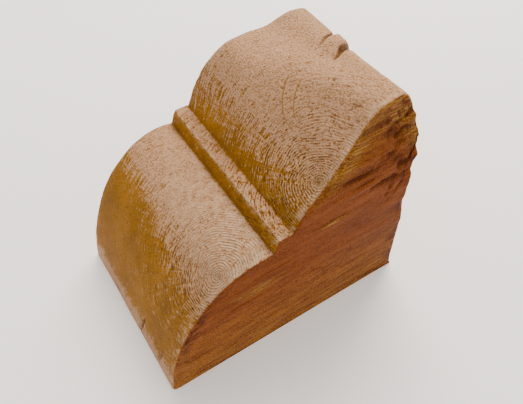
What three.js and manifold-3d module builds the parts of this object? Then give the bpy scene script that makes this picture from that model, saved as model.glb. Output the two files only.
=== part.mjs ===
// Beam bracket: one cast block with a carved double-bulge front.
// It lies on its long flat face. X runs across the bracket, the carved front looks to -Y,
// the short flat face stands upright at +Y, and +Z is up. Millimetres.
// The origin is the middle of the long flat face.
import * as THREE from 'three';
import { mergeVertices } from 'three/addons/utils/BufferGeometryUtils.js';
import Module from 'manifold-3d';

// Overall sizes
const LENGTH = 200; // long flat face, from the front tip to the upright face
const WIDTH = 142; // across the bracket, at the long flat face
const CREST_NEAR = 183; // height of the upper bulge at the +X end
const CREST_FAR = 169.6; // and at the -X end, before the rise of its back corner

// The small step between the two bulges, measured forward from the upright face
const STEP_HEIGHT = 117; // its flat tread above the long flat face
const TREAD_BACK = 99.6; // where the upper bulge meets the tread
const TREAD_DEPTH = 10.8; // tread, back to front
const RISER_DROP = 10.6; // down from the tread to the lower bulge
const RISER_LEAN = 4; // the riser's foot stands this much further forward

// How the lower bulge's curve leaves its two ends. Where there are two values, they are for the +X and -X ends.
const TIP_PULL_UP = 60; // rise of the curve's handle above the front tip
const TIP_PULL_IN = [3, 5]; // and how far that handle leans inward
const TOP_PULL_OUT = 44; // reach of the handle in front of the riser's foot
const TOP_PULL_UP = [3.6, 11]; // and its height above the riser's foot

// Profile of the upper bulge at each end, as [share of its depth forward of the upright face, share of its rise].
// The +X end climbs in a long slope to a crest well back, and the -X end swells early and runs nearly flat.
const SLOPE_NEAR = [
  [0.92, 0.2], [0.73, 0.42], [0.53, 0.68], [0.37, 0.93], [0.25, 1], [0.14, 0.985], [0.06, 0.79], [0, 0.44],
];
const SWELL_FAR = [
  [0.94, 0.25], [0.86, 0.62], [0.72, 0.9], [0.54, 0.965], [0.34, 0.95], [0.17, 1.045], [0.035, 1], [0, 0.86],
];

// The ends draw in towards the top, as a worn block does
const DRAW_IN = 9; // at the crest, on each end
const DRAW_FROM = 124; // height where it starts
const DRAW_TO = 174; // height where it is complete

// Worn edges: radius of the rounding along each part of the outline
const EDGE_FRONT = 3;
const EDGE_STEP = 2;
const EDGE_UPPER = 3.5;
const EDGE_BACK = 3.5;
const EDGE_UNDER = 1.5;
const BACK_WAVE = 1; // the upright edges wander by this much
const BACK_WAVES = 3.5; // waves in the height of the upright face

// Hollows broken out of the +X upright edge
const HOLLOW_HEIGHT = [148, 121, 88]; // middle of each one above the long flat face
const HOLLOW_HALF = [20, 13, 34]; // half its height
const HOLLOW_DEPTH = [8, 14.5, 6]; // added to the edge's radius

// Two splits in the top edge over the upright face, and the lip standing between them
const SPLIT_X = [-25, -5.5]; // where each split meets the upright face
const SPLIT_LENGTH = [28, 30]; // from the upright face to its point
const SPLIT_WIDTH = [1.6, 3.1]; // at the upright face
const SPLIT_DEPTH = [6, 8]; // below the crest of the upper bulge
const SPLIT_SWING = [24, 22]; // degrees each one turns off the square
const LIP_RISE = 3.4; // the lip over the surface around it
const LIP_HALF_WIDTH = 9.5;
const LIP_CENTRE_X = -15; // at the upright face
const LIP_SWING = 23; // degrees it turns off the square, like the splits
const LIP_REACH = 26; // forward from the upright face
const LIP_TURN = 0.62 * Math.PI; // it rises as a sine over this angle, highest just inside the back edge
const LIP_FLANK = 1.6; // how much steeper than a plain hill its sides are
const CUTTER_OVER = 20; // how far a split's cutter stands clear of the block

// How finely each stretch is divided
const LOWER_STEPS = 18;
const UPPER_STEPS = 28;
const BACK_STEPS = 16;
const UNDER_STEPS = 8;
const ACROSS_STEPS = 28;
const EDGE_STEPS = 3;
const CAP_RINGS = 4;
const STEP_STEPS = 2;

const BACK = LENGTH / 2;
const tidy = (t) => Math.min(Math.max(t, 0), 1);
const ease = (t) => tidy(t) * tidy(t) * (3 - 2 * tidy(t));

// The upper bulge of one end: a smooth curve from the tread's back over the crest to the upright face.
function upperCurve(crest, shares) {
  return new THREE.SplineCurve([[1, 0], ...shares].map(([back, up]) => (
    new THREE.Vector2(BACK - back * TREAD_BACK, STEP_HEIGHT + up * (crest - STEP_HEIGHT)))));
}
const upperNear = upperCurve(CREST_NEAR, SLOPE_NEAR);
const upperFar = upperCurve(CREST_FAR, SWELL_FAR);

const riserFoot = new THREE.Vector2(BACK - TREAD_BACK - TREAD_DEPTH - RISER_LEAN, STEP_HEIGHT - RISER_DROP);
const nosing = new THREE.Vector2(BACK - TREAD_BACK - TREAD_DEPTH, STEP_HEIGHT);
const [lowerNear, lowerFar] = TIP_PULL_IN.map((pullIn, end) => new THREE.CubicBezierCurve(
  new THREE.Vector2(-BACK, 0),
  new THREE.Vector2(-BACK + pullIn, TIP_PULL_UP),
  new THREE.Vector2(riserFoot.x - TOP_PULL_OUT, riserFoot.y + TOP_PULL_UP[end]),
  riserFoot,
));

// Radius of an upright edge at one height: it wanders, and the +X edge has its hollows.
function backEdge(z, w) {
  const wander = BACK_WAVE * Math.sin((z / STEP_HEIGHT) * BACK_WAVES * 2);
  const hollows = HOLLOW_HEIGHT.map((h, k) => HOLLOW_DEPTH[k] * ease(1 - Math.abs(z - h) / HOLLOW_HALF[k]));
  return EDGE_BACK + wander + (w > 0.5 ? Math.max(...hollows) : 0);
}

// The closed outline at one station, w = 0 at the -X end and 1 at the +X end.
// Each point carries the radius its edge is rounded to.
function outline(w) {
  const points = [];
  const put = (y, z, edge) => points.push({ y, z, edge });
  for (let i = 0; i < LOWER_STEPS; i++) {
    const p = lowerFar.getPoint(i / LOWER_STEPS).lerp(lowerNear.getPoint(i / LOWER_STEPS), ease(w));
    put(p.x, p.y, EDGE_FRONT);
  }
  for (let i = 0; i < STEP_STEPS; i++) {
    const p = riserFoot.clone().lerp(nosing, i / STEP_STEPS);
    put(p.x, p.y, EDGE_STEP);
  }
  const foot = new THREE.Vector2(BACK - TREAD_BACK, STEP_HEIGHT);
  for (let i = 0; i < STEP_STEPS; i++) {
    const p = nosing.clone().lerp(foot, i / STEP_STEPS);
    put(p.x, p.y, EDGE_STEP);
  }
  let topOfBack = 0;
  for (let i = 0; i <= UPPER_STEPS; i++) {
    const p = upperFar.getPoint(i / UPPER_STEPS).lerp(upperNear.getPoint(i / UPPER_STEPS), ease(w));
    put(p.x, p.y, EDGE_UPPER);
    topOfBack = p.y;
  }
  for (let i = 1; i < BACK_STEPS; i++) {
    const z = topOfBack * (1 - i / BACK_STEPS);
    put(BACK, z, backEdge(z, w));
  }
  for (let i = 0; i < UNDER_STEPS; i++) {
    put(BACK - (i / UNDER_STEPS) * LENGTH, 0, EDGE_UNDER);
  }
  return points;
}

const halfWidth = (z) => WIDTH / 2 - DRAW_IN * ease((z - DRAW_FROM) / (DRAW_TO - DRAW_FROM));

// The lip between the splits lifts the skin near the top of the upright face.
function lip(x, y, z) {
  const centre = LIP_CENTRE_X + Math.tan(THREE.MathUtils.degToRad(LIP_SWING)) * (BACK - y);
  const across = tidy(1 - Math.abs(x - centre) / LIP_HALF_WIDTH);
  const along = tidy((y - (BACK - LIP_REACH)) / LIP_REACH);
  const high = z > (STEP_HEIGHT + CREST_FAR) / 2 ? 1 : 0;
  return LIP_RISE * ease(across * LIP_FLANK) * Math.sin(along * LIP_TURN) * high;
}

// Rings of vertices: the far cap outward, the skin along X, then the near cap inward.
// A worn edge rolls over towards the middle of the cap, from which the whole outline can be seen.
const rings = [];
const capCentre = new THREE.Vector2(BACK - TREAD_BACK / 2, STEP_HEIGHT / 2);
function skinRing(w, side, turn) {
  return outline(w).map((p) => {
    const inward = new THREE.Vector2(capCentre.x - p.y, capCentre.y - p.z).normalize();
    const shrink = p.edge * (1 - Math.cos(turn));
    const y = p.y + inward.x * shrink;
    const z = p.z + inward.y * shrink;
    const reach = halfWidth(p.z) - p.edge + p.edge * Math.sin(turn);
    const x = turn > 0 ? side * reach : (2 * w - 1) * (halfWidth(p.z) - p.edge);
    return new THREE.Vector3(x, y, z + lip(x, y, z));
  });
}

function capRing(edgeRing, side, scale) {
  return edgeRing.map((v) => {
    const y = capCentre.x + (v.y - capCentre.x) * scale;
    const z = capCentre.y + (v.z - capCentre.y) * scale;
    return new THREE.Vector3(side * halfWidth(z), y, z);
  });
}

const farEdge = skinRing(0, -1, Math.PI / 2);
const nearEdge = skinRing(1, 1, Math.PI / 2);
for (let k = 1; k < CAP_RINGS; k++) rings.push(capRing(farEdge, -1, k / CAP_RINGS));
rings.push(farEdge);
for (let k = EDGE_STEPS - 1; k > 0; k--) rings.push(skinRing(0, -1, (k / EDGE_STEPS) * (Math.PI / 2)));
for (let j = 0; j <= ACROSS_STEPS; j++) rings.push(skinRing(j / ACROSS_STEPS, 1, 0));
for (let k = 1; k < EDGE_STEPS; k++) rings.push(skinRing(1, 1, (k / EDGE_STEPS) * (Math.PI / 2)));
rings.push(nearEdge);
for (let k = CAP_RINGS - 1; k > 0; k--) rings.push(capRing(nearEdge, 1, k / CAP_RINGS));

// Join the rings into one closed skin, with a single point at the middle of each cap.
function closedSkin(loops) {
  const count = loops[0].length;
  const positions = [];
  loops.forEach((loop) => loop.forEach((v) => positions.push(v.x, v.y, v.z)));
  const farTip = positions.length / 3;
  positions.push(-WIDTH / 2, capCentre.x, capCentre.y);
  positions.push(WIDTH / 2, capCentre.x, capCentre.y);
  const index = [];
  for (let i = 0; i < count; i++) {
    const next = (i + 1) % count;
    index.push(farTip, i, next);
    for (let r = 0; r + 1 < loops.length; r++) {
      const a = r * count;
      const b = a + count;
      index.push(a + i, b + next, a + next);
      index.push(a + i, b + i, b + next);
    }
    const last = (loops.length - 1) * count;
    index.push(farTip + 1, last + next, last + i);
  }
  const geometry = new THREE.BufferGeometry();
  geometry.setAttribute('position', new THREE.Float32BufferAttribute(positions, 3));
  geometry.setIndex(index);
  return geometry;
}

const wasm = await Module();
wasm.setup();

function toSolid(geometry) {
  const bare = geometry.clone();
  bare.deleteAttribute('normal');
  bare.deleteAttribute('uv');
  const merged = mergeVertices(bare, 1e-4);
  return new wasm.Manifold(new wasm.Mesh({
    numProp: 3,
    vertProperties: new Float32Array(merged.attributes.position.array),
    triVerts: new Uint32Array(merged.index.array),
  }));
}

function fromSolid(solid) {
  const mesh = solid.getMesh();
  const geometry = new THREE.BufferGeometry();
  geometry.setAttribute('position', new THREE.BufferAttribute(new Float32Array(mesh.vertProperties), 3));
  geometry.setIndex(new THREE.BufferAttribute(new Uint32Array(mesh.triVerts), 1));
  geometry.computeVertexNormals();
  return geometry;
}

// A split is a wedge that opens upward and backward and closes to a point at its front.
function splitTool(k) {
  const half = (SPLIT_WIDTH[k] / 2) * (1 + CUTTER_OVER / SPLIT_LENGTH[k]);
  const slit = new THREE.Shape([
    new THREE.Vector2(0, -SPLIT_LENGTH[k]),
    new THREE.Vector2(half, CUTTER_OVER),
    new THREE.Vector2(-half, CUTTER_OVER),
  ]);
  const cutter = new THREE.ExtrudeGeometry(slit, { depth: SPLIT_DEPTH[k] + CUTTER_OVER, bevelEnabled: false });
  cutter.rotateZ(THREE.MathUtils.degToRad(SPLIT_SWING[k]));
  const crest = THREE.MathUtils.lerp(CREST_FAR, CREST_NEAR, ease(SPLIT_X[k] / WIDTH + 1 / 2));
  cutter.translate(SPLIT_X[k], BACK, crest - SPLIT_DEPTH[k]);
  return cutter;
}

let block = toSolid(closedSkin(rings));
SPLIT_X.forEach((x, k) => {
  block = block.subtract(toSolid(splitTool(k)));
});

const bracket = new THREE.Mesh(
  fromSolid(block),
  new THREE.MeshStandardMaterial({ color: '#a8743f', roughness: 0.72, metalness: 0 }),
);
bracket.name = 'bracket';

const part = new THREE.Group();
part.add(bracket);
export default part;
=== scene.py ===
"""Beam bracket: one cast block with a carved double-bulge front, stained and rubbed to look like old timber.

The block is one closed surface on a grid. Each row of the grid runs round the outline of the block (lower
bulge, small step, upper bulge, upright back, underside), and the rows lie side by side across it and close
over both ends. The surface is then pushed inward by a relief worked out from each point's place: splits,
pits, worn edges, streaks, cracks and crumbled places on the ends, and slow unevenness on the carved front.
"""

import bpy
import numpy as np
from mathutils import Matrix, Vector


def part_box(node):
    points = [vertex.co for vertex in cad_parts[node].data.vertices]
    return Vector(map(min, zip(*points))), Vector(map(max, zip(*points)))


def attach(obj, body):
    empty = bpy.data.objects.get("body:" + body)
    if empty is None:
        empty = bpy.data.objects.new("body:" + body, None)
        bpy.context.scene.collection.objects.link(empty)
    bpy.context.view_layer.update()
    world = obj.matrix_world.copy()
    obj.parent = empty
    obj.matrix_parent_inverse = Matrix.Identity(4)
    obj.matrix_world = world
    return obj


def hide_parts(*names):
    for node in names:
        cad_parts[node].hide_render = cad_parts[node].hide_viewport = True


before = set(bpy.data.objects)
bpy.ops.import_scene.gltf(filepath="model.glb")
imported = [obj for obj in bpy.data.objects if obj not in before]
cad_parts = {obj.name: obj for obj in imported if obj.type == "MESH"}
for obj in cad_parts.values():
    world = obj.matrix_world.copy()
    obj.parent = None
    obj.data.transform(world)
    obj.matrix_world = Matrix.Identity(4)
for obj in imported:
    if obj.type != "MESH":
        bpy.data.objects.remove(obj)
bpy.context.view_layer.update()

MM = 0.001

# The camera: its place and turn were fitted to the outline of both ends of the block
CAMERA_PLACE = Vector((240.23, -125.69, 416.0)) * MM
CAMERA_AZIMUTH = 58.68
CAMERA_ELEVATION = 51.66
CAMERA_ROLL = -1.43
FOCAL_PX = 591.9
IMAGE_WIDTH_PX = 523
SENSOR_MM = 36.0
NEAREST_SEEN = 0.01

# Sizes of the block in mm, as in its solid
LENGTH = 200.0
WIDTH = 142.0
CREST_NEAR = 183.0
CREST_FAR = 169.6
STEP_HEIGHT = 117.0
TREAD_BACK = 99.6
TREAD_DEPTH = 10.8
RISER_DROP = 10.6
RISER_LEAN = 4.0
TIP_PULL_UP = 60.0
TIP_PULL_IN = (3.0, 5.0)  # at the +X end and at the -X end
TOP_PULL_OUT = 44.0
TOP_PULL_UP = (3.6, 11.0)
DRAW_IN = 9.0
DRAW_FROM = 124.0
DRAW_TO = 174.0
BACK = LENGTH / 2
COVE_Y = BACK - TREAD_BACK  # where the tread meets the upper bulge
NOSING_Y = COVE_Y - TREAD_DEPTH
RISER_FOOT_Y = NOSING_Y - RISER_LEAN
RISER_FOOT_Z = STEP_HEIGHT - RISER_DROP
HIGH_UP = (STEP_HEIGHT + CREST_FAR) / 2  # above this lie only the upper bulge and the top of the upright face

# Radius in mm of the worn rounding where each stretch of the outline meets the ends
EDGE_FRONT = 3.0
EDGE_STEP = 2.0
EDGE_UPPER = 3.5
EDGE_BACK = 3.5
EDGE_UNDER = 1.5
# The upright edges wander by BACK_WAVE. The +X one has three hollows: middle, half height and depth of each
BACK_WAVE = 1.0
BACK_TURN = 7.0  # radians of wander over the height of the step
HOLLOW_HEIGHT = (148.0, 121.0, 88.0)
HOLLOW_HALF = (20.0, 13.0, 34.0)
HOLLOW_DEPTH = (8.0, 14.5, 6.0)

# The splits over the upright face, and the lip between them
SPLIT_X = (-25.0, -5.5)
SPLIT_LENGTH = (28.0, 30.0)
SPLIT_HALF = (1.5, 2.8)
SPLIT_DEPTH = (4.0, 6.0)
SPLIT_SWING = (24.0, 22.0)
SPLIT_OPENING = 0.45  # a split widens with this power of the way along it
SPLIT_DEEPENING = 0.5  # and deepens with this one
LEAST_OPENING = 1e-6
SPLIT_WANDER = 0.5
SPLIT_WANDER_PITCH = (90.0, 6.0, 90.0)
SPLIT_BELOW_TOP = 12.0  # how far they run down the upright face
LIP_RISE = 3.4
LIP_HALF_WIDTH = 9.5
LIP_CENTRE_X = -15.0
LIP_SWING = 23.0
LIP_REACH = 26.0
LIP_TURN = 0.62 * np.pi
LIP_FLANK = 1.6

# Control points of the upper bulge at each end, as shares of its depth and rise
SLOPE_NEAR = ((0.92, 0.2), (0.73, 0.42), (0.53, 0.68), (0.37, 0.93), (0.25, 1.0), (0.14, 0.985),
              (0.06, 0.79), (0.0, 0.44))
SWELL_FAR = ((0.94, 0.25), (0.86, 0.62), (0.72, 0.9), (0.54, 0.965), (0.34, 0.95), (0.17, 1.045),
             (0.035, 1.0), (0.0, 0.86))

# Grid divisions
LOWER_STEPS = 104
RISER_STEPS = 9
TREAD_STEPS = 9
UPPER_STEPS = 128
BACK_STEPS = 64
UNDER_STEPS = 44
EDGE_STEPS = 6
CAP_STEPS_FAR = 16
CAP_STEPS_NEAR = 54
EVEN_ROWS = 84
SPLIT_ROWS = (-30.0, 8.0, 0.8)  # from, to and spacing in mm of the closer rows over the splits and the lip
PIT_ROWS = (20.0, 56.0, 1.2)  # and over the pits
CLOSEST_ROWS = 0.0025  # share of the width

# Soft random fields: one table of values, read at a mix of the grid corner's three numbers
TABLE_SIZE = 8192
MIXERS = (7919, 104729, 1299709)
MIX_SHIFT = 7
FINE_SHARE = 0.6  # strength of the finer of two grains

# Relief of the carved front, in mm. Here and below, a LEVEL is what is cut evenly, a SWING is what a random
# field adds, a PITCH is the field's size along x, y and z, and a RISE is where a smooth rise starts and its
# span.
TOOL_LEVEL = 0.3
TOOL_SWING = 0.7
TOOL_PITCH = 30.0
CALM_REACH = 24.0  # the unevenness dies down this close to the upright face
CALM_SHARE = 0.8  # by this share
CHATTER_DEPTH = 0.16
CHATTER_PITCH = (5.0, 4.0, 4.0)
NIBBLE_RADIUS = 1.9  # of the rubbed edge of the step
NIBBLE_LEVEL = 0.6
NIBBLE_SWING = 1.6
NIBBLE_PITCH = (3.4, 50.0, 50.0)

# Relief of the ends, in mm: streaks, broad unevenness, and the broken upright edges
END_LEVEL = 0.4
STREAK_SWING = 0.5
STREAK_COARSE = (30.0, 52.0, 5.2)
STREAK_FINE = (30.0, 26.0, 3.4)
STREAK_FOOT = 0.6  # strength low down, and what is added to it higher up
STREAK_GAIN = 0.7
STREAK_RISE = (90.0, 50.0)
BROAD_SWING = 0.4
BROAD_PITCH = (40.0, 46.0, 22.0)
BROKEN_REACH = 11.0
BROKEN_LEVEL = 0.3
BROKEN_SWING = 0.6
BROKEN_NEAR_GAIN = 1.0  # more of it high up on the +X edge
BROKEN_RISE = (100.0, 20.0)
BROKEN_COARSE = (9.0, 9.0, 6.0)
BROKEN_FINE = (9.0, 6.0, 3.2)
CRUMB_SWING = 1.5
CRUMB_BACK_RISE = (56.0, 30.0)
CRUMB_UP_RISE = (96.0, 14.0)
CRUMB_COARSE = (9.0, 4.6, 2.8)
CRUMB_FINE = (9.0, 2.6, 1.8)
PLAIN_DEPTH = 0.12  # the hidden faces are nearly flat
PLAIN_PITCH = 16.0
PLAIN_FROM = 1.0  # and quite flat below this height

# Pits, checks, cracks and hollows, in mm
TROUGH_FLOOR = 0.3  # share of a cut's half width that is flat floor
PIT_DEPTH = 1.3
# Centre x, centre y and radius of each pit
PITS = ((21.9, 61.4, 1.3), (38.2, 55.6, 1.1), (46.7, 59.2, 1.4), (48.6, 60.6, 1.2), (53.7, 55.1, 1.4),
        (38.4, 60.3, 0.9), (46.3, 56.9, 1.0))
CRACK_PITCH = 7.0  # of the wander of checks and cracks
LEAST_TAPER = 0.05  # of the width towards the ends of a check or crack
CHECK_WANDER = 0.5
# Two ends, half width and depth
FRONT_CHECKS = (((13.6, -99.9, -3.0), (23.4, -95.6, 29.0), 2.3, 4.8),
                ((48.8, -99.0, 9.0), (52.4, -96.0, 28.0), 1.7, 3.0))
CRACK_WANDER = 0.9
# y and z of each end of a crack, its half width and depth
END_CRACKS = ((35.0, 137.0, 68.0, 136.6, 1.5, 2.0), (58.0, 120.2, 84.0, 123.5, 2.1, 2.2),
              (17.0, 108.2, 45.0, 109.3, 1.4, 1.4), (62.0, 144.0, 82.0, 143.4, 1.4, 1.2),
              (76.0, 152.0, 91.0, 160.5, 1.8, 2.4), (68.0, 160.5, 84.0, 164.0, 1.4, 1.2),
              (44.0, 128.5, 72.0, 129.5, 1.3, 1.0), (14.0, 59.5, 28.0, 57.0, 1.4, 0.8),
              (-60.0, 66.0, -8.0, 67.0, 1.5, 0.8), (-34.0, 88.0, 6.0, 90.0, 1.4, 0.8))
# Middle (y, z), half length, half height and depth; those with a negative depth are lumps and knots
END_HOLLOWS = ((84.0, 131.0, 6.0, 4.0, 2.4), (89.0, 164.5, 4.0, 3.2, 1.6), (91.5, 161.5, 7.0, 7.0, -1.6),
               (80.0, 120.5, 5.0, 3.0, 1.2), (-80.5, 34.2, 4.5, 2.4, -0.9), (-84.8, 31.0, 3.4, 2.2, 1.3),
               (-76.0, 31.5, 3.0, 1.8, 1.0))


def ease(t):
    """Smooth rise from 0 to 1: three t squared less two t cubed, held between 0 and 1."""
    t = np.clip(t, 0.0, 1.0)
    return t * t * (3.0 - 2.0 * t)


def rise(value, start, span):
    """Smooth rise from 0 where the value is start to 1 where it is start plus span."""
    return ease((value - start) / span)


def bump(t):
    """Smooth hill: 1 at t = 0, falling to 0 at t = 1 and t = -1."""
    return ease(1.0 - np.abs(t))


def by_line(y, z, line_y, line_z, radius_y, radius_z):
    """Round hill along a line across the block: e to the power of less the squares of y and z from the line,
    each over its radius."""
    return np.exp(-(((y - line_y) / radius_y) ** 2 + ((z - line_z) / radius_z) ** 2))


def bezier(a, b, c, d, t):
    """Cubic curve: the four points weighted by the terms of (1 - t + t) cubed."""
    t = t[:, None]
    s = 1.0 - t
    return s**3 * a + 3 * s * s * t * b + 3 * s * t * t * c + t**3 * d


def smooth_curve(points, t):
    """Curve through all the points, even in their number: each stretch is a cubic whose end slopes are half
    the step between the neighbours on both sides."""
    points = np.asarray(points, float)
    last = len(points) - 1
    place = t * last
    k = np.minimum(place.astype(int), last - 1)
    f = (place - k)[:, None]
    before = points[np.maximum(k - 1, 0)]
    here = points[k]
    after = points[k + 1]
    beyond = points[np.minimum(k + 2, last)]
    slope_in = (after - before) / 2
    slope_out = (beyond - here) / 2
    cubic = 2 * here - 2 * after + slope_in + slope_out
    square = -3 * here + 3 * after - 2 * slope_in - slope_out
    return cubic * f**3 + square * f**2 + slope_in * f + here


def noise(p, pitch, seed):
    """Soft random field from -1 to 1 at points p in mm: random values on the corners of a box grid of the
    given pitch, blended smoothly inside each box."""
    q = p / np.asarray(pitch, float)
    base = np.floor(q).astype(np.int64)
    f = ease(q - base)
    table = np.random.default_rng(seed).uniform(-1.0, 1.0, TABLE_SIZE)
    total = 0.0
    for corner in np.ndindex(2, 2, 2):
        mixed = sum((base[..., k] + corner[k]) * MIXERS[k] for k in range(3))
        weight = np.prod([np.abs(1 - corner[k] - f[..., k]) for k in range(3)], axis=0)
        total = total + table[(mixed ^ (mixed >> MIX_SHIFT)) % TABLE_SIZE] * weight
    return total


def layered(p, pitch, seed, layers=3):
    """Several noises, each half as large and half as strong as the last."""
    pitch = np.asarray(pitch, float)
    return sum(noise(p, pitch / 2**k, seed + k) / 2**k for k in range(layers))


def two_grains(p, coarse, fine, seed):
    """A coarse noise with a finer, weaker one added."""
    return noise(p, coarse, seed) + FINE_SHARE * noise(p, fine, seed + 1)


def upper_curve(crest, shares, t):
    """Upper bulge of one end as (y, z): a smooth curve from the tread's back over the crest to the upright
    face."""
    height = crest - STEP_HEIGHT
    points = [(BACK - TREAD_BACK * back, STEP_HEIGHT + height * up) for back, up in ((1.0, 0.0), *shares)]
    return smooth_curve(points, t)


def back_top(w):
    """Height of the upright face at the place w across the block, eased from one end's to the other's."""
    near_top = upper_curve(CREST_NEAR, SLOPE_NEAR, np.ones(1))[0, 1]
    far_top = upper_curve(CREST_FAR, SWELL_FAR, np.ones(1))[0, 1]
    return far_top + (near_top - far_top) * ease(w)


def back_edge(z, w):
    """Radius of an upright edge: a base value, a wander with height, and on the +X edge the deepest of three
    hollows."""
    wander = BACK_WAVE * np.sin(z / STEP_HEIGHT * BACK_TURN)
    hollows = [depth * bump((z - middle) / half)
               for middle, half, depth in zip(HOLLOW_HEIGHT, HOLLOW_HALF, HOLLOW_DEPTH)]
    return EDGE_BACK + wander + np.where(w > 0.5, np.max(hollows, axis=0), 0.0)


STRETCHES = (LOWER_STEPS, RISER_STEPS, TREAD_STEPS, UPPER_STEPS, BACK_STEPS, UNDER_STEPS)
LOWER, RISER, TREAD, UPPER, UPRIGHT, UNDER = range(len(STRETCHES))
stretch_of = np.repeat(np.arange(len(STRETCHES)), STRETCHES)


def outline(w):
    """Closed outlines, one row for each place w across the block (0 at -X, 1 at +X): y, z and edge radius.
    Each bulge blends from its far curve to its near curve with the eased w. The step is straight lines."""
    w = w[:, None]
    foot = np.array((COVE_Y, STEP_HEIGHT))
    nosing = np.array((NOSING_Y, STEP_HEIGHT))
    riser_foot = np.array((RISER_FOOT_Y, RISER_FOOT_Z))
    tip = np.array((-BACK, 0.0))
    steps = [np.arange(n) / n for n in STRETCHES]
    low_near, low_far = [
        bezier(tip, tip + (pull_in, TIP_PULL_UP), riser_foot + (-TOP_PULL_OUT, pull_up), riser_foot,
               steps[LOWER])
        for pull_in, pull_up in zip(TIP_PULL_IN, TOP_PULL_UP)]
    riser = riser_foot + steps[RISER][:, None] * (nosing - riser_foot)
    tread = nosing + steps[TREAD][:, None] * (foot - nosing)
    step = np.vstack([riser, tread])
    near = upper_curve(CREST_NEAR, SLOPE_NEAR, steps[UPPER])
    far = upper_curve(CREST_FAR, SWELL_FAR, steps[UPPER])
    blend = ease(w)
    one = np.ones_like(w)
    y = np.hstack([
        low_far[:, 0] * (1 - blend) + low_near[:, 0] * blend,
        step[:, 0] * one,
        far[:, 0] * (1 - blend) + near[:, 0] * blend,
        BACK * np.ones(BACK_STEPS) * one,
        (BACK - steps[UNDER] * LENGTH) * one,
    ])
    z = np.hstack([
        low_far[:, 1] * (1 - blend) + low_near[:, 1] * blend,
        step[:, 1] * one,
        far[:, 1] * (1 - blend) + near[:, 1] * blend,
        back_top(w) * (1 - steps[UPRIGHT]),
        np.zeros(UNDER_STEPS) * one,
    ])
    edge = np.choose(stretch_of, [EDGE_FRONT, EDGE_STEP, EDGE_STEP, EDGE_UPPER, EDGE_BACK, EDGE_UNDER]) * one
    edge = np.where(stretch_of == UPRIGHT, back_edge(z, w), edge)
    return y, z, edge


def half_width(z):
    """Half the block's width at height z: the ends draw in, eased, towards the crest."""
    return WIDTH / 2 - DRAW_IN * rise(z, DRAW_FROM, DRAW_TO - DRAW_FROM)


def lip(x, y, z):
    """Rise of the skin between the two splits near the top of the upright face: a hill across, times the
    sine of the way towards the back."""
    along = np.clip((y - (BACK - LIP_REACH)) / LIP_REACH, 0.0, 1.0)
    centre = LIP_CENTRE_X + np.tan(np.radians(LIP_SWING)) * (BACK - y)
    across = ease(LIP_FLANK * (1 - np.abs(x - centre) / LIP_HALF_WIDTH))
    return LIP_RISE * across * np.sin(along * LIP_TURN) * (z > HIGH_UP)


CAP_CENTRE = np.array((BACK - TREAD_BACK / 2, STEP_HEIGHT / 2))


def skin_rings(w, side, turn):
    """Rows of points round the block. With turn = 0 they lie across the block in even shares of its width,
    and with turn up to a right angle they roll over the worn edge of one end: towards the middle of the end
    by r (1 - cos), out by r sin."""
    y, z, edge = outline(w)
    inward = CAP_CENTRE - np.stack([y, z], -1)
    inward /= np.linalg.norm(inward, axis=-1, keepdims=True)
    shrink = edge * (1 - np.cos(turn))
    reach = half_width(z) - edge
    share = (2 * w - 1)[:, None]
    x = np.where(turn > 0, side * (reach + edge * np.sin(turn)), share * reach)
    y = y + inward[..., 0] * shrink
    z = z + inward[..., 1] * shrink
    return np.stack([x, y, z + lip(x, y, z)], -1)


def cap_rings(edge_row, side, scales):
    """Rows of points over one end: the end's outline shrunk towards the cap's centre by each scale."""
    yz = CAP_CENTRE + scales[:, None, None] * (edge_row[None, :, 1:] - CAP_CENTRE)
    x = side * half_width(yz[..., 1])
    return np.concatenate([x[..., None], yz], -1)


# Places across the block: even, and closer together over the splits, the lip and the small pits
even = np.linspace(0.0, 1.0, EVEN_ROWS)
closer = np.concatenate([np.arange(*SPLIT_ROWS), np.arange(*PIT_ROWS)]) / WIDTH + 0.5
across = np.unique(np.concatenate([even, closer]))
across = across[np.concatenate([[True], np.diff(across) > CLOSEST_ROWS])]
across[-1] = 1.0

turns = np.linspace(0.0, np.pi / 2, EDGE_STEPS + 1)[1:, None]
far_edge = skin_rings(np.zeros(EDGE_STEPS), -1, turns)[::-1]
near_edge = skin_rings(np.ones(EDGE_STEPS), 1, turns)
skin = skin_rings(across, 1, np.zeros((len(across), 1)))
far_scales = np.linspace(0.0, 1.0, CAP_STEPS_FAR + 1)[1:-1]
near_scales = np.linspace(1.0, 0.0, CAP_STEPS_NEAR + 1)[1:-1]
far_cap = cap_rings(far_edge[0], -1, far_scales)
near_cap = cap_rings(near_edge[-1], 1, near_scales)
rows = np.concatenate([far_cap, far_edge, skin, near_edge, near_cap])
row_count, column_count = rows.shape[:2]
flat = rows.reshape(-1, 3)
tips = np.array([(side * half_width(CAP_CENTRE[1]), *CAP_CENTRE) for side in (-1, 1)])
points = np.vstack([flat, tips])

# Faces of the closed grid, each wound so that it points outward
row, col = np.meshgrid(np.arange(row_count - 1), np.arange(column_count), indexing="ij")
a = row * column_count + col
b = row * column_count + (col + 1) % column_count
quads = np.stack([a, a + column_count, b + column_count, b], -1).reshape(-1, 4)
i = np.arange(column_count)
j = (i + 1) % column_count
last = (row_count - 1) * column_count
far_fan = np.stack([np.full_like(i, len(flat)), i, j], -1)
near_fan = np.stack([np.full_like(i, len(flat) + 1), last + j, last + i], -1)


def vertex_normals(p):
    """Outward unit normal of each point: the sum of the cross products of the grid's faces round it."""
    normal = np.zeros_like(p)
    for corners in (quads[:, [0, 1, 2]], quads[:, [0, 2, 3]], far_fan, near_fan):
        face = np.cross(p[corners[:, 1]] - p[corners[:, 0]], p[corners[:, 2]] - p[corners[:, 0]])
        for k in range(3):
            for axis in range(3):
                normal[:, axis] += np.bincount(corners[:, k], face[:, axis], len(p))
    return normal / np.linalg.norm(normal, axis=1, keepdims=True)


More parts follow.
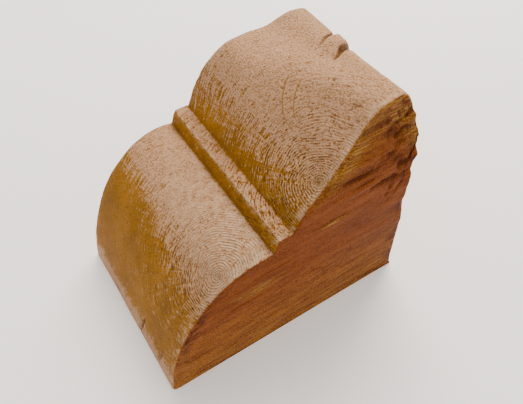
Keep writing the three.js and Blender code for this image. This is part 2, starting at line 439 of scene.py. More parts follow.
# Masks at each point: its stretch of the outline, how far it has turned onto an end, its scale on that end
stretch = np.concatenate([np.tile(stretch_of, row_count), [UPPER, UPPER]])
row_turn = np.concatenate([
    np.ones(len(far_cap)), np.linspace(1, 0, EDGE_STEPS + 1)[:-1], np.zeros(len(skin)),
    np.linspace(0, 1, EDGE_STEPS + 1)[1:], np.ones(len(near_cap)),
])
end_face = np.concatenate([np.repeat(row_turn, column_count), [1.0, 1.0]])
row_scale = np.concatenate([far_scales, np.ones(row_count - len(far_scales) - len(near_scales)), near_scales])
rim = np.concatenate([np.repeat(row_scale, column_count), [0.0, 0.0]])
x, y, z = points.T
carved = (1 - end_face) * (stretch <= UPPER)
plain = (1 - end_face) * (stretch >= UPRIGHT)
upright_top = back_top(x / WIDTH + 0.5)


def trough(distance, half):
    """Section across a cut: 1 on its flat floor, and from there along a straight line to 0 just outside its
    half width."""
    return np.clip(1 + TROUGH_FLOOR - distance / half, 0.0, 1.0)


def groove(p, start, stop, half, depth, wander, seed):
    """A cut along a straight line on the surface, deepest in its middle, tapering to both ends. It wanders in
    x and z, apart from the one that the line mostly runs along."""
    start = np.asarray(start, float)
    line = np.asarray(stop, float) - start
    length = np.linalg.norm(line)
    t = (p - start) @ line / length**2
    off = p - start - t[:, None] * line
    sideways = np.array((1.0, 0.0, 1.0)) * (np.abs(line) < length / 2)
    off = off + wander * noise(p, CRACK_PITCH, seed)[:, None] * sideways
    distance = np.linalg.norm(off, axis=1)
    taper = np.sqrt(np.clip(4 * t * (1 - t), 0.0, 1.0))
    return depth * taper * np.clip(1 - distance / (half * np.maximum(taper, LEAST_TAPER)), 0.0, 1.0)


def broad_end(p):
    """Broad unevenness of an end, in mm."""
    return BROAD_SWING * layered(p, BROAD_PITCH, seed=35, layers=2)


def relief(p):
    """How far each point is pushed inward, in mm: the sum of what is worn, cut and broken."""
    x, y, z = p.T
    near_side = end_face * (x > 0)
    cut = np.zeros(len(p))
    # carved front: slow unevenness left by the tool, and a finer chatter
    by_back = 1 - CALM_SHARE * bump((BACK - y) / CALM_REACH)
    cut += carved * by_back * (TOOL_LEVEL + TOOL_SWING * layered(p, TOOL_PITCH, seed=11))
    cut += carved * CHATTER_DEPTH * (1 + noise(p, CHATTER_PITCH, seed=15))
    # the step's edges are rubbed and nibbled
    on_nosing = by_line(y, z, NOSING_Y, STEP_HEIGHT, NIBBLE_RADIUS, NIBBLE_RADIUS)
    nibbles = np.maximum(noise(p, NIBBLE_PITCH, seed=21), 0.0)
    cut += carved * on_nosing * (NIBBLE_LEVEL + NIBBLE_SWING * nibbles)
    # the ends: streaks along the block's length, stronger towards the top
    streak = two_grains(p, STREAK_COARSE, STREAK_FINE, seed=31)
    upward = STREAK_FOOT + STREAK_GAIN * rise(z, *STREAK_RISE)
    cut += end_face * (END_LEVEL + STREAK_SWING * upward * streak + broad_end(p))
    # the upright edges are broken unevenly, most of all the upper half of the +X one
    broken = two_grains(p, BROKEN_COARSE, BROKEN_FINE, seed=37)
    reach = np.exp(-(((BACK - y) / BROKEN_REACH) ** 2))
    swing = BROKEN_SWING + BROKEN_NEAR_GAIN * (x > 0) * rise(z, *BROKEN_RISE)
    cut += end_face * reach * (BROKEN_LEVEL + swing * broken)
    # and beside it the end's surface has crumbled along the grain
    crumbled = near_side * rise(y, *CRUMB_BACK_RISE) * rise(z, *CRUMB_UP_RISE)
    crumbs = two_grains(p, CRUMB_COARSE, CRUMB_FINE, seed=39)
    cut += crumbled * CRUMB_SWING * np.maximum(crumbs, 0.0)
    # plain hidden faces: nearly flat
    cut += plain * PLAIN_DEPTH * (1 + noise(p, PLAIN_PITCH, seed=41)) * (z > PLAIN_FROM)
    # splits in the top over the upright face, open towards it and running a little way down it
    below_top = (stretch == UPRIGHT) * (1 - end_face) * ease(1 + (z - upright_top) / SPLIT_BELOW_TOP)
    split_skin = (z > HIGH_UP) * (carved + below_top)
    wander = SPLIT_WANDER * noise(p, SPLIT_WANDER_PITCH, seed=43)
    for x0, length, half, depth, swing in zip(SPLIT_X, SPLIT_LENGTH, SPLIT_HALF, SPLIT_DEPTH, SPLIT_SWING):
        run = length * np.cos(np.radians(swing))
        along = np.clip((y - (BACK - run)) / run, 0.0, 1.0)
        line_x = x0 + np.tan(np.radians(swing)) * (BACK - y) + wander
        open_half = np.maximum(half * along**SPLIT_OPENING, LEAST_OPENING)
        cut += split_skin * depth * along**SPLIT_DEEPENING * trough(np.abs(x - line_x), open_half)
    # small pits on the upper bulge
    for pit_x, pit_y, radius in PITS:
        cut += carved * (z > HIGH_UP) * PIT_DEPTH * trough(np.hypot(x - pit_x, y - pit_y), radius)
    # checks in the carved front, along straight lines from one point of the skin to another
    for k, (start, stop, half, depth) in enumerate(FRONT_CHECKS):
        cut += carved * groove(p, start, stop, half, depth, CHECK_WANDER, seed=71 + k)
    # cracks along the grain of the +X end, and hollows where pieces have come away
    side = np.stack([np.zeros_like(x), y, z], 1)
    for k, (y0, z0, y1, z1, half, depth) in enumerate(END_CRACKS):
        cut += near_side * groove(side, (0.0, y0, z0), (0.0, y1, z1), half, depth, CRACK_WANDER, seed=51 + k)
    for hollow_y, hollow_z, long_half, high_half, depth in END_HOLLOWS:
        cut += near_side * depth * bump(np.hypot((y - hollow_y) / long_half, (z - hollow_z) / high_half))
    return cut


cut = relief(points)
cut[(stretch == UNDER) & (end_face < 1)] = 0.0
normals = vertex_normals(points)
shaped = points - normals * cut[:, None]
box_low, box_high = (np.array(corner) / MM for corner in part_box("bracket"))
shaped = np.clip(shaped, box_low, box_high)

# Where the pale paint lies, as shares, together with a painted sheen. On the upper bulge it grows backward
# from the cove, over a stretch that is wider at the +X end. On the lower bulge it lies where the surface
# faces the sky, partly as painted sheen, along the foot, and further down towards the +X end. The tread and
# the top of the upright face have caught it too.
PAINT_REACH = 26.0  # mm at the -X end
PAINT_REACH_GAIN = 12.0  # more at the +X end
PAINT_START = 2.0  # mm before the cove
PAINT_MOST = 0.95
PAINT_AND_SHEEN_SLOPE = (0.56, 0.4)
TREAD_PAINT = 0.6
TOP_PAINT = 0.8
TOP_PAINT_DEPTH = 16.0
FOOT_PAINT = 1.15
FOOT_PAINT_HEIGHT = 34.0
NEAR_PAINT = 0.26
NEAR_PAINT_HEIGHT = 60.0
NEAR_PAINT_SLOPE = 0.7
skyward = normals[:, 2]
near_share = x / (WIDTH / 2)
on_lower = stretch == LOWER
paint_reach = PAINT_REACH + PAINT_REACH_GAIN * ease(x / WIDTH + 0.5)
behind_cove = np.clip((y - COVE_Y + PAINT_START) / paint_reach, 0.0, PAINT_MOST)
# on the lower bulge the share follows how far the surface faces up: partly pale paint, partly painted sheen
paint_and_sheen = np.select([stretch == UPPER, on_lower, stretch == TREAD],
                  [behind_cove, rise(skyward, *PAINT_AND_SHEEN_SLOPE), TREAD_PAINT], 0.0)
paint_and_sheen += (stretch == UPRIGHT) * TOP_PAINT * ease(1 + (z - upright_top) / TOP_PAINT_DEPTH)
paint_and_sheen += on_lower * FOOT_PAINT * bump(z / FOOT_PAINT_HEIGHT)
# more of it where the lower bulge faces up towards the +X end: partly paint, partly painted sheen
paint_and_sheen += on_lower * NEAR_PAINT * near_share * ease(z / NEAR_PAINT_HEIGHT) * ease(skyward / NEAR_PAINT_SLOPE)

# Where the paint is rubbed bright, beside the rims of the ends and along the step's edge, and where a painted
# highlight lies on the lower crown
RUB_INSET = 3.6  # mm from the rim to the middle of the rubbed line
RUB_WIDTH = 2.6
RUB_NEAR = 0.6  # share at the +X end and at the -X end
RUB_FAR = 0.1
RUB_TURNED = 0.4  # only this far onto the rounding
NOSING_RUB = 0.7
NOSING_RUB_RADIUS = 1.8
CROWN_HIGHLIGHT_SLOPE = (0.7, 0.25)
CROWN_HIGHLIGHT = 0.45
by_rim = np.exp(-(((half_width(z) - np.abs(x) - RUB_INSET) / RUB_WIDTH) ** 2))
by_rim = by_rim * (end_face < RUB_TURNED) * (stretch <= UPPER)
nosing_line = by_line(y, z, NOSING_Y, STEP_HEIGHT, NOSING_RUB_RADIUS, NOSING_RUB_RADIUS)
# painted highlight: the lower crown paler where it faces up, stronger towards the +X end
crown_highlight = on_lower * rise(skyward, *CROWN_HIGHLIGHT_SLOPE) * CROWN_HIGHLIGHT * (1 + near_share)
wear_and_highlight = by_rim * np.where(x > 0, RUB_NEAR, RUB_FAR) + NOSING_RUB * nosing_line * carved + crown_highlight
wear_and_highlight = np.clip(wear_and_highlight, 0.0, 1.0)

# Where it is darker: painted shade in what the relief has cut deep and in the step's inner corners, dark
# crumbly marks along the lower front rim of the +X end, and painted shade towards the back of the ends' foot
END_SHADE_DEPTH = 1.3  # mm cut below the level that makes full painted shade
FRONT_SHADE_LEVEL = 0.45
FRONT_SHADE_DEPTH = 2.4
CORNER_SHADE = 0.6
CORNER_RADIUS = 3.0
COVE_SHADE = 0.4
COVE_RADIUS = (3.0, 4.0)
RIM_RISE = (0.93, 0.04)  # on the scale of the end's outline
RIM_BASE = 0.1
RIM_MIDDLE = 66.0
RIM_HALF = 38.0
RIM_LEVEL = 0.5
RIM_SWING = 1.6
RIM_PITCH = (9.0, 1.8, 1.8)
FOOT_SHADE = 0.24
FOOT_SHADE_BACKWARD = 60.0
FOOT_SHADE_TOP = 120.0
FOOT_SHADE_FADE = 40.0
on_end = end_face > 0.5
# painted shade: darker where the relief cuts deep, in cracks, splits, pits and hollows
shade_in_cuts = np.where(on_end, (cut - END_LEVEL - broad_end(points)) / END_SHADE_DEPTH,
                  (cut - FRONT_SHADE_LEVEL) / FRONT_SHADE_DEPTH)
# painted shade along the foot of the riser and in the cove behind the tread
foot_line = by_line(y, z, RISER_FOOT_Y, RISER_FOOT_Z, CORNER_RADIUS, CORNER_RADIUS)
cove_line = by_line(y, z, COVE_Y, STEP_HEIGHT, *COVE_RADIUS)
rim_crumbs = ease(RIM_LEVEL + RIM_SWING * noise(points, RIM_PITCH, seed=83))
front_rim = rise(rim, *RIM_RISE) * on_end * (x > 0) * (stretch <= RISER)
front_rim = front_rim * (RIM_BASE + bump((z - RIM_MIDDLE) / RIM_HALF) * rim_crumbs)
# painted shade: the ends darker towards the back and low down
back_foot_shade = FOOT_SHADE * on_end * ease(y / FOOT_SHADE_BACKWARD) * ease((FOOT_SHADE_TOP - z) / FOOT_SHADE_FADE)
painted_shade_and_marks = shade_in_cuts + carved * (CORNER_SHADE * foot_line + COVE_SHADE * cove_line) + front_rim + back_foot_shade
painted_shade_and_marks = np.clip(painted_shade_and_marks, -1.0, 1.0)

# Where the ends are golden: under the upper rim, the higher the more, and in two patches along the grain
GOLD_RIM_RISE = (0.78, 0.16)
GOLD_UP_RISE = (128.0, 16.0)
GOLD_TOP = 0.35
GOLD_TOP_RISE = (118.0, 40.0)
GOLD_PATCH = 1.3
# Middle (y, z), half length and half height of each patch
GOLD_PATCHES = ((-27.0, 76.0, 36.0, 9.0), (31.0, 106.0, 24.0, 5.0))
gold = rise(rim, *GOLD_RIM_RISE) * (stretch == UPPER) * rise(z, *GOLD_UP_RISE)
gold += GOLD_TOP * rise(z, *GOLD_TOP_RISE)
for gold_y, gold_z, long_half, high_half in GOLD_PATCHES:
    gold += GOLD_PATCH * bump(np.hypot((y - gold_y) / long_half, (z - gold_z) / high_half))

# Place on the growth rings: they lie round a middle line, the pith, which comes out once in each bulge. A
# vector along the rings and outward gives dashes that follow them, and one that is long outward gives rays.
PITH_LOW = np.array((60.1, -49.4, 97.7))
PITH_HIGH = np.array((60.8, 23.7, 142.0))
PITH_LEAN = np.radians(34.0)  # forward from upright
RING_WANDER = 2.6
RING_WANDER_PITCH = 24.0
DASH_TURN = 7.0  # dashes in a radian
DASH_GAP = 0.8  # mm outward
RAY_TURN = 24.0  # rays in a radian
RAY_LENGTH = 30.0  # mm outward
PLAIN_RADIUS = 90.0  # mm: the plain faces are finished as if far from the pith
from_pith = points - np.where((stretch <= RISER)[:, None], PITH_LOW, PITH_HIGH)
lean_height = from_pith[:, 1] * np.cos(PITH_LEAN) + from_pith[:, 2] * np.sin(PITH_LEAN)
facing = np.stack([from_pith[:, 0], lean_height], 1)
pith_distance = np.linalg.norm(facing, axis=1)
ring_radius = pith_distance + RING_WANDER * layered(points, RING_WANDER_PITCH, seed=61)
facing /= pith_distance[:, None]
ring_place = np.column_stack([facing * DASH_TURN, ring_radius / DASH_GAP])
ray_place = np.column_stack([facing * RAY_TURN, ring_radius / RAY_LENGTH])
ring_radius[stretch >= UPRIGHT] = PLAIN_RADIUS


def closed_mesh(name, p, attributes):
    """Mesh from the grid's faces, in metres, with each named array as an attribute of its points: a number or
    a vector each."""
    mesh = bpy.data.meshes.new(name)
    faces = quads.tolist() + far_fan.tolist() + near_fan.tolist()
    mesh.from_pydata((p * MM).tolist(), [], faces)
    for label, values in attributes.items():
        kind, slot = ("FLOAT", "value") if values.ndim == 1 else ("FLOAT_VECTOR", "vector")
        layer = mesh.attributes.new(label, kind, "POINT")
        layer.data.foreach_set(slot, values.astype(np.float32).ravel())
    mesh.shade_smooth()
    mesh.update()
    obj = bpy.data.objects.new(name, mesh)
    bpy.context.scene.collection.objects.link(obj)
    return obj


block = closed_mesh("carved_block", shaped, {
    "end_face": end_face, "paint_and_sheen": paint_and_sheen, "wear_and_highlight": wear_and_highlight, "painted_shade_and_marks": painted_shade_and_marks, "gold": gold,
    "ring_radius": ring_radius, "ring_place": ring_place, "ray_place": ray_place,
})


def linear(code):
    """sRGB hex to linear colour."""
    parts = [int(code[k:k + 2], 16) / 255 for k in (1, 3, 5)]
    return (*[c / 12.92 if c <= 0.04045 else ((c + 0.055) / 1.055) ** 2.4 for c in parts], 1.0)


def add(tree, kind, links=None, **settings):
    """Adds a node and sets its properties. Each input named or numbered in links takes a value, a socket, or
    the first output in use of another node."""
    node = tree.nodes.new(kind)
    for key, value in settings.items():
        setattr(node, key, value)
    for key, source in (links or {}).items():
        if isinstance(source, bpy.types.Node):
            source = next(socket for socket in source.outputs if socket.enabled)
        if isinstance(source, bpy.types.NodeSocket):
            tree.links.new(source, node.inputs[key])
        else:
            node.inputs[key].default_value = source
    return node


def new_material(name):
    """An empty material and its node tree."""
    material = bpy.data.materials.new(name)
    material.use_nodes = True
    material.node_tree.nodes.clear()
    return material, material.node_tree


# Rigid foam cast from an old timber, stained olive brown and dry-brushed with a pale tan paint: matte, the
# paint caught on the raised grain of what faces up, partly as a painted sheen, and the sawn ends left darker
# and redder, with the grain along them
OLIVE_DEEP_AND_SHADE = linear("#5e3800")
OLIVE_DARK = linear("#865806")
OLIVE = linear("#9c680e")
TAN = linear("#8a5e34")
TAN_PALE = linear("#bc9270")
END_DARK = linear("#6a3008")
END_MID = linear("#864512")
END_LIT_LOW = linear("#a66c28")
END_GOLD = linear("#8a5414")
END_PALE = linear("#b88c44")
# colours of the painted shade and dark marks, on the front and on the ends
SHADE_AND_MARKS_FRONT = linear("#6e4402")
SHADE_AND_MARKS_END = linear("#4a1c08")
# pale rub colour, also the colour of the painted highlight on the lower crown
RUBBED_AND_HIGHLIGHT = linear("#d0ac88")
FOAM_IOR = 1.46
FOAM_SHINE = 0.12

# Pitches in mm: specks, mottling, blotches and growth rings
SPECK_PITCH = 1.2
MOTTLE_PITCH = 5.0
BLOTCH_PITCH = 30.0
RING_PITCH = 1.7
# Name, pitch in mm and stretch along the grain of each pattern of the ends
GRAINS = (("streaks", 1.1, 12.0), ("bands", 4.5, 7.0), ("threads", 0.7, 26.0))
GRAIN_DETAIL = {"Detail": 3.0, "Roughness": 0.6}

# What each mask or pattern is turned into between two of its values
RING_FADE = {"From Min": 8.0, "From Max": 56.0, "To Min": 1.0, "To Max": 0.0}
RING_PATCHES = {"From Min": 0.38, "From Max": 0.62}
DASH_FADE = {"From Min": 24.0, "From Max": 78.0, "To Min": 1.0, "To Max": 0.25}
COVER_RANGE = {"To Min": -0.4, "To Max": 1.5}
BLOTCH_RANGE = {"From Min": 0.35, "From Max": 0.65}
GROOVE_RANGE = {"From Min": 0.15, "From Max": 0.29}
SPECK_RANGE = {"From Min": 0.3, "From Max": 0.58}
BANDING_RANGE = {"From Min": 1.4, "From Max": 1.8}
LOW_LIGHT_RANGE = {"From Min": 0.0, "From Max": 80.0 * MM, "To Min": 1.0, "To Max": 0.0}
GILT_RANGE = {"From Min": 0.69, "From Max": 0.82, "To Max": 0.7}
END_RANGE = {"From Min": 0.25, "From Max": 0.45}
SHADE_AND_MARKS_RANGE = {"From Min": 0.1, "From Max": 0.8, "To Max": 0.8}
RUB_AND_HIGHLIGHT_PATCHES = {"From Min": 0.42, "From Max": 0.6}
ROUGH_RANGE = {"From Min": 0.3, "From Max": 0.7, "To Min": 0.6, "To Max": 0.76}

# How strongly the patterns count where they are added up
COVER_WEIGHTS = (("dashes", 4.2), ("grain", 1.3), ("rays", 2.6), ("mottle", 0.7), ("blotch", 0.6))
COVER_RINGS = 1.4
COVER_MIDDLE = 0.5
COVER_CRISPNESS = 0.3
GROOVE_GRAIN = 0.6
SPECK_DASHES = 1.1
SPECK_RINGS = 0.14
BANDING_STREAKS = 0.8
BANDING_GRAIN = 1.5
GILT_GOLD = 0.16
HEIGHT_DASHES = 1.5
HEIGHT_RAYS = 0.6
HEIGHT_GRAIN = 1.3
HEIGHT_STREAKS = 1.6
HEIGHT_MOTTLE = 0.3
BUMP_HEIGHT = 0.9

# The two colour inputs of a mix, which goes from the one to the other as its input 0 goes from 0 to 1
FROM, TO = 6, 7
MEAN = 0.5  # of a noise pattern

material, tree = new_material("stained_timber_cast")
place = add(tree, "ShaderNodeTexCoord").outputs["Object"]
axes = add(tree, "ShaderNodeSeparateXYZ", {0: place})
fac = {
    label: add(tree, "ShaderNodeAttribute", attribute_name=label).outputs["Fac"]
    for label in ("end_face", "paint_and_sheen", "wear_and_highlight", "painted_shade_and_marks", "gold", "ring_radius")
}
along_rings = add(tree, "ShaderNodeAttribute", attribute_name="ring_place").outputs["Vector"]
along_rays = add(tree, "ShaderNodeAttribute", attribute_name="ray_place").outputs["Vector"]

# Patterns: specks, mottling, blotches, dashes along the rings, rays across them, and on the ends streaks,
# bands and fine threads along the grain
noises = {}
for label, vector, scale, detail, roughness in (
    ("grain", place, 1.0 / (SPECK_PITCH * MM), 2.0, 0.6),
    ("mottle", place, 1.0 / (MOTTLE_PITCH * MM), 3.0, 0.65),
    ("blotch", place, 1.0 / (BLOTCH_PITCH * MM), 4.0, 0.6),
    ("dashes", along_rings, 1.0, 2.0, 0.6),
    ("rays", along_rays, 1.0, 3.0, 0.65),
):
    noises[label] = add(tree, "ShaderNodeTexNoise", {
        "Vector": vector, "Scale": scale, "Detail": detail, "Roughness": roughness,
    })
for label, pitch, long in GRAINS:
    along_grain = add(tree, "ShaderNodeMapping", {"Vector": place, "Scale": (1.0, 1.0 / long, 1.0)})
    noises[label] = add(tree, "ShaderNodeTexNoise", {
        "Vector": along_grain, "Scale": 1.0 / (pitch * MM), **GRAIN_DETAIL,
    })

# Growth rings: a sine of the distance from the pith, in patches, and fading outward
ring_turns = add(tree, "ShaderNodeMath", {0: fac["ring_radius"], 1: 2 * np.pi / RING_PITCH},
                 operation="MULTIPLY")
ring_wave = add(tree, "ShaderNodeMath", {0: ring_turns}, operation="SINE")
ring_near = add(tree, "ShaderNodeMapRange", {"Value": fac["ring_radius"], **RING_FADE})
ring_patches = add(tree, "ShaderNodeMapRange", {"Value": noises["mottle"], **RING_PATCHES})
rings = add(tree, "ShaderNodeMath", {0: ring_wave, 1: ring_near}, operation="MULTIPLY")
rings = add(tree, "ShaderNodeMath", {0: rings, 1: ring_patches}, operation="MULTIPLY")

# The dashes too are strongest near the pith
dash_near = add(tree, "ShaderNodeMapRange", {"Value": fac["ring_radius"], **DASH_FADE})
dash_relief = add(tree, "ShaderNodeMath", {0: noises["dashes"], 1: MEAN}, operation="SUBTRACT")
dash_relief = add(tree, "ShaderNodeMath", {0: dash_relief, 1: dash_near}, operation="MULTIPLY")

# Cover of the pale paint and painted sheen: its mask with the patterns added, turned crisp
cover = add(tree, "ShaderNodeMapRange", {"Value": fac["paint_and_sheen"], **COVER_RANGE}, clamp=False)
for label, weight in COVER_WEIGHTS:
    cover = add(tree, "ShaderNodeMath", {0: noises[label], 1: weight, 2: cover}, operation="MULTIPLY_ADD")
cover = add(tree, "ShaderNodeMath", {0: rings, 1: COVER_RINGS, 2: cover}, operation="MULTIPLY_ADD")
middle = COVER_MIDDLE + MEAN * sum(weight for label, weight in COVER_WEIGHTS)
cover = add(tree, "ShaderNodeMapRange", {
    "Value": cover, "From Min": middle - COVER_CRISPNESS, "From Max": middle + COVER_CRISPNESS,
}, interpolation_type="SMOOTHSTEP")

# Colour of the front: blotchy olive stain, darker in the grooves as deeper stain and painted shade, and over
# it the pale paint with its painted sheen, paler where it stands up
blotches = add(tree, "ShaderNodeMapRange", {"Value": noises["blotch"], **BLOTCH_RANGE})
stain = add(tree, "ShaderNodeMix", {0: blotches, FROM: OLIVE_DARK, TO: OLIVE}, data_type="RGBA")
grooves = add(tree, "ShaderNodeMath", {0: noises["grain"], 1: GROOVE_GRAIN, 2: dash_relief},
              operation="MULTIPLY_ADD")
grooves = add(tree, "ShaderNodeMapRange", {"Value": grooves, **GROOVE_RANGE})
stain = add(tree, "ShaderNodeMix", {0: grooves, FROM: OLIVE_DEEP_AND_SHADE, TO: stain}, data_type="RGBA")
specks = add(tree, "ShaderNodeMath", {0: dash_relief, 1: SPECK_DASHES, 2: noises["grain"]},
             operation="MULTIPLY_ADD")
specks = add(tree, "ShaderNodeMath", {0: rings, 1: SPECK_RINGS, 2: specks}, operation="MULTIPLY_ADD")
specks = add(tree, "ShaderNodeMapRange", {"Value": specks, **SPECK_RANGE})
pale = add(tree, "ShaderNodeMix", {0: specks, FROM: TAN, TO: TAN_PALE}, data_type="RGBA")
front = add(tree, "ShaderNodeMix", {0: cover, FROM: stain, TO: pale}, data_type="RGBA")

# Colour of the ends: red-brown, with painted light that makes them lighter towards the foot, golden at the
# top, with dark bands and gilt threads
banding = add(tree, "ShaderNodeMath", {0: noises["streaks"], 1: BANDING_STREAKS, 2: noises["bands"]},
              operation="MULTIPLY_ADD")
banding = add(tree, "ShaderNodeMath", {0: noises["grain"], 1: BANDING_GRAIN, 2: banding},
              operation="MULTIPLY_ADD")
banding = add(tree, "ShaderNodeMapRange", {"Value": banding, **BANDING_RANGE})
# painted light: the ends lighter low down, as if lit from the floor below
painted_low_light = add(tree, "ShaderNodeMapRange", {"Value": axes.outputs["Z"], **LOW_LIGHT_RANGE})
end = add(tree, "ShaderNodeMix", {0: painted_low_light, FROM: END_MID, TO: END_LIT_LOW}, data_type="RGBA")
end = add(tree, "ShaderNodeMix", {0: fac["gold"], FROM: end, TO: END_GOLD}, data_type="RGBA")
end = add(tree, "ShaderNodeMix", {0: banding, FROM: END_DARK, TO: end}, data_type="RGBA")
gilt = add(tree, "ShaderNodeMath", {0: fac["gold"], 1: GILT_GOLD, 2: noises["threads"]},
           operation="MULTIPLY_ADD")
gilt = add(tree, "ShaderNodeMapRange", {"Value": gilt, **GILT_RANGE})
end = add(tree, "ShaderNodeMix", {0: gilt, FROM: end, TO: END_PALE}, data_type="RGBA")

# Both together, then the painted shade and dark rim marks, and in patches the rubbed places and the painted
# highlight
on_end_side = add(tree, "ShaderNodeMapRange", {"Value": fac["end_face"], **END_RANGE})
colour = add(tree, "ShaderNodeMix", {0: on_end_side, FROM: front, TO: end}, data_type="RGBA")
# painted shade: darker in cuts, corners and towards the back of the ends' foot
shaded_share = add(tree, "ShaderNodeMapRange", {"Value": fac["painted_shade_and_marks"], **SHADE_AND_MARKS_RANGE})
shade_and_marks_colour = add(tree, "ShaderNodeMix", {0: on_end_side, FROM: SHADE_AND_MARKS_FRONT, TO: SHADE_AND_MARKS_END}, data_type="RGBA")
colour = add(tree, "ShaderNodeMix", {0: shaded_share, FROM: colour, TO: shade_and_marks_colour}, data_type="RGBA")
# the rubbed places and the painted highlight, in patches
rub_and_highlight_patches = add(tree, "ShaderNodeMapRange", {"Value": noises["mottle"], **RUB_AND_HIGHLIGHT_PATCHES})
rub_and_highlight = add(tree, "ShaderNodeMath", {0: fac["wear_and_highlight"], 1: rub_and_highlight_patches}, operation="MULTIPLY")
colour = add(tree, "ShaderNodeMix", {0: rub_and_highlight, FROM: colour, TO: RUBBED_AND_HIGHLIGHT}, data_type="RGBA")

# Two long curved scratches on the upper bulge: arcs of circles seen from above. Middle, radius and range
# along the block of each, in mm
SCRATCHES = (((20.8, 58.2), 28.2, 31.5, 46.2), ((25.0, 55.8), 21.5, 35.2, 50.0))
SCRATCH_HALF = 0.45
SCRATCH_STRENGTH = 0.7
flat_place = add(tree, "ShaderNodeVectorMath", {0: place, 1: (1.0, 1.0, 0.0)}, operation="MULTIPLY")
for (centre_x, centre_y), arc_radius, from_y, to_y in SCRATCHES:
    spoke = add(tree, "ShaderNodeVectorMath", {0: flat_place, 1: (centre_x * MM, centre_y * MM, 0.0)},
                operation="DISTANCE").outputs["Value"]
    off = add(tree, "ShaderNodeMath", {0: spoke, 1: arc_radius * MM}, operation="SUBTRACT")
    off = add(tree, "ShaderNodeMath", {0: off}, operation="ABSOLUTE")
    line = add(tree, "ShaderNodeMath", {0: off, 1: SCRATCH_HALF * MM}, operation="LESS_THAN")
    for axis, limit, side in (
        ("Y", from_y, "GREATER_THAN"), ("Y", to_y, "LESS_THAN"), ("X", centre_x, "LESS_THAN"),
    ):
        within = add(tree, "ShaderNodeMath", {0: axes.outputs[axis], 1: limit * MM}, operation=side)
        line = add(tree, "ShaderNodeMath", {0: line, 1: within}, operation="MULTIPLY")
    line = add(tree, "ShaderNodeMath", {0: line, 1: SCRATCH_STRENGTH}, operation="MULTIPLY")
    colour = add(tree, "ShaderNodeMix", {0: line, FROM: colour, TO: OLIVE_DARK}, data_type="RGBA")

# The same patterns as fine relief
on_front = add(tree, "ShaderNodeMath", {0: 1.0, 1: fac["end_face"]}, operation="SUBTRACT")
front_height = add(tree, "ShaderNodeMath", {0: dash_relief, 1: HEIGHT_DASHES, 2: rings},
                   operation="MULTIPLY_ADD")
front_height = add(tree, "ShaderNodeMath", {0: noises["rays"], 1: HEIGHT_RAYS, 2: front_height},
                   operation="MULTIPLY_ADD")
front_height = add(tree, "ShaderNodeMath", {0: front_height, 1: on_front}, operation="MULTIPLY")
end_height = add(tree, "ShaderNodeMath", {0: noises["streaks"], 1: fac["end_face"]}, operation="MULTIPLY")
height = add(tree, "ShaderNodeMath", {0: noises["grain"], 1: HEIGHT_GRAIN, 2: front_height},
             operation="MULTIPLY_ADD")
height = add(tree, "ShaderNodeMath", {0: end_height, 1: HEIGHT_STREAKS, 2: height}, operation="MULTIPLY_ADD")
height = add(tree, "ShaderNodeMath", {0: noises["mottle"], 1: HEIGHT_MOTTLE, 2: height},
             operation="MULTIPLY_ADD")
relief_bump = add(tree, "ShaderNodeBump", {"Height": height, "Distance": BUMP_HEIGHT * MM, "Strength": 1.0})
rough = add(tree, "ShaderNodeMapRange", {"Value": noises["mottle"], **ROUGH_RANGE})
shader = add(tree, "ShaderNodeBsdfPrincipled", {
    "Base Color": colour, "Roughness": rough, "Normal": relief_bump,
    "IOR": FOAM_IOR, "Specular IOR Level": FOAM_SHINE,
})
add(tree, "ShaderNodeOutputMaterial", {"Surface": shader})
block.data.materials.append(material)

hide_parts("bracket")
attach(block, "root")

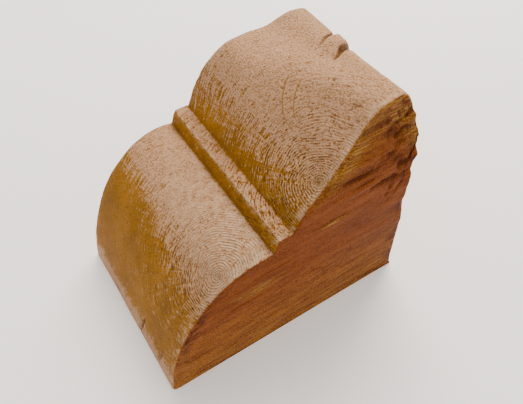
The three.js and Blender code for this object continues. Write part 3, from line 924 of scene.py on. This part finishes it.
# Plain pale floor: matte white board, lifted a little by a glow of its own
FLOOR_HALF = 3.0
BOARD_ROUGHNESS = 0.9
BOARD_GLOW = 0.25
floor_mesh = bpy.data.meshes.new("floor")
corners = [(-FLOOR_HALF, -FLOOR_HALF, 0), (FLOOR_HALF, -FLOOR_HALF, 0), (FLOOR_HALF, FLOOR_HALF, 0),
           (-FLOOR_HALF, FLOOR_HALF, 0)]
floor_mesh.from_pydata(corners, [], [(0, 1, 2, 3)])
floor = bpy.data.objects.new("floor", floor_mesh)
bpy.context.scene.collection.objects.link(floor)
floor_material, tree = new_material("matte_white_board")
board = add(tree, "ShaderNodeBsdfPrincipled", {
    "Base Color": linear("#f6f4f2"), "Roughness": BOARD_ROUGHNESS,
    "Emission Color": linear("#fffaf4"), "Emission Strength": BOARD_GLOW,
})
add(tree, "ShaderNodeOutputMaterial", {"Surface": board})
floor.data.materials.append(floor_material)

# Soft light: an even pale surround and one broad panel high behind the -X end, in metres and watts
PANEL_PLACE = Vector((-0.75, 0.75, 1.25))
PANEL_AIM = Vector((0.0, 0.0, 0.08))
PANEL_SIZE = 1.1
PANEL_POWER = 46.0
world = bpy.data.worlds.new("surround")
bpy.context.scene.world = world
world.use_nodes = True
world.node_tree.nodes["Background"].inputs["Color"].default_value = linear("#fffaf4")
world.node_tree.nodes["Background"].inputs["Strength"].default_value = 1.0
light = bpy.data.lights.new("key", "AREA")
light.size = PANEL_SIZE
light.energy = PANEL_POWER
light.color = linear("#fff6ec")[:3]
panel = bpy.data.objects.new("key", light)
panel.location = PANEL_PLACE
panel.rotation_euler = (PANEL_AIM - PANEL_PLACE).to_track_quat("-Z", "Y").to_euler()
bpy.context.scene.collection.objects.link(panel)

# Camera at the photograph's place: azimuth, elevation and roll turned into its three axes
azimuth, elevation, roll = np.radians((CAMERA_AZIMUTH, CAMERA_ELEVATION, CAMERA_ROLL))
backward = Vector((np.sin(azimuth) * np.cos(elevation), -np.cos(azimuth) * np.cos(elevation),
                   np.sin(elevation)))
level = Vector((np.cos(azimuth), np.sin(azimuth), 0.0))
upward = level.cross(-backward)
right = np.cos(roll) * level + np.sin(roll) * upward
upward = -np.sin(roll) * level + np.cos(roll) * upward
camera_data = bpy.data.cameras.new("camera")
camera_data.sensor_width = SENSOR_MM
camera_data.sensor_fit = "HORIZONTAL"
camera_data.lens = FOCAL_PX / IMAGE_WIDTH_PX * SENSOR_MM
camera_data.clip_start = NEAREST_SEEN
camera = bpy.data.objects.new("camera", camera_data)
turned = Matrix((right, upward, backward)).transposed().to_4x4()
camera.matrix_world = Matrix.Translation(CAMERA_PLACE) @ turned
bpy.context.scene.collection.objects.link(camera)
bpy.context.scene.camera = camera
